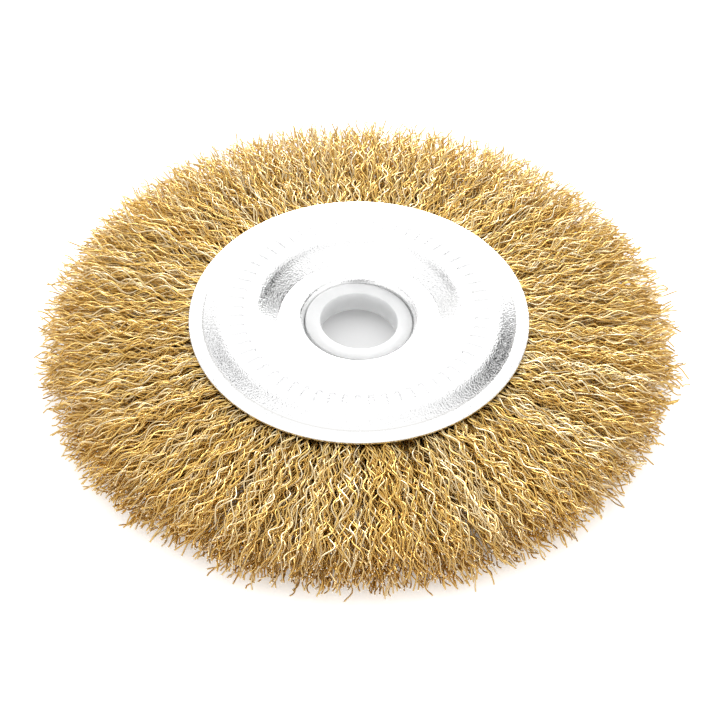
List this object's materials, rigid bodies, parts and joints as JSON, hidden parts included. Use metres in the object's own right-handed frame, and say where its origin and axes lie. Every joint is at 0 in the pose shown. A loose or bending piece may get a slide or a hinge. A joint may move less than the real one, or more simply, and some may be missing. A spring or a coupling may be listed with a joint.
{
  "type": "crimped wire wheel brush",
  "caption": "Round crimped wire wheel for a bench grinder: brass-coated wires fanned from two dished steel plates, hub bore with a push-out nylon reducing bush.",
  "frame": {"origin": "centre of the hub bore, midway between the two plates", "axes": "+Z along the bore, out of the face the picture shows; X and Y in the plane of the wheel"},
  "size_m": [0.127, 0.127, 0.0112],
  "materials": {
    "plate_steel": "bright zinc plate with a fine satin grain",
    "ring_steel": "plain drawn steel",
    "brass_wire": "brass-coated crimped steel wire",
    "bush_nylon": "milky natural nylon"
  },
  "bodies": {
    "wheel": {"top_plate": "plate_steel", "bottom_plate": "plate_steel", "retaining_ring": "ring_steel", "wire_hank_01": "brass_wire", "wire_hank_02": "brass_wire", "wire_hank_03": "brass_wire", "wire_hank_04": "brass_wire", "wire_hank_05": "brass_wire", "wire_hank_06": "brass_wire", "wire_hank_07": "brass_wire", "wire_hank_08": "brass_wire", "wire_hank_09": "brass_wire", "wire_hank_10": "brass_wire", "wire_hank_11": "brass_wire", "wire_hank_12": "brass_wire", "wire_hank_13": "brass_wire", "wire_hank_14": "brass_wire", "wire_hank_15": "brass_wire", "wire_hank_16": "brass_wire", "wire_hank_17": "brass_wire", "wire_hank_18": "brass_wire", "wire_hank_19": "brass_wire", "wire_hank_20": "brass_wire", "wire_hank_21": "brass_wire", "wire_hank_22": "brass_wire", "wire_hank_23": "brass_wire", "wire_hank_24": "brass_wire", "wire_hank_25": "brass_wire", "wire_hank_26": "brass_wire", "wire_hank_27": "brass_wire", "wire_hank_28": "brass_wire", "wire_hank_29": "brass_wire", "wire_hank_30": "brass_wire"},
    "bush": {"reducing_bush": "bush_nylon"}
  },
  "joints": [
    {"name": "bush_slide", "type": "slide", "parent": "wheel", "child": "bush", "axis": [0, 0, 1], "range_m": [0, 0.01]}
  ]
}
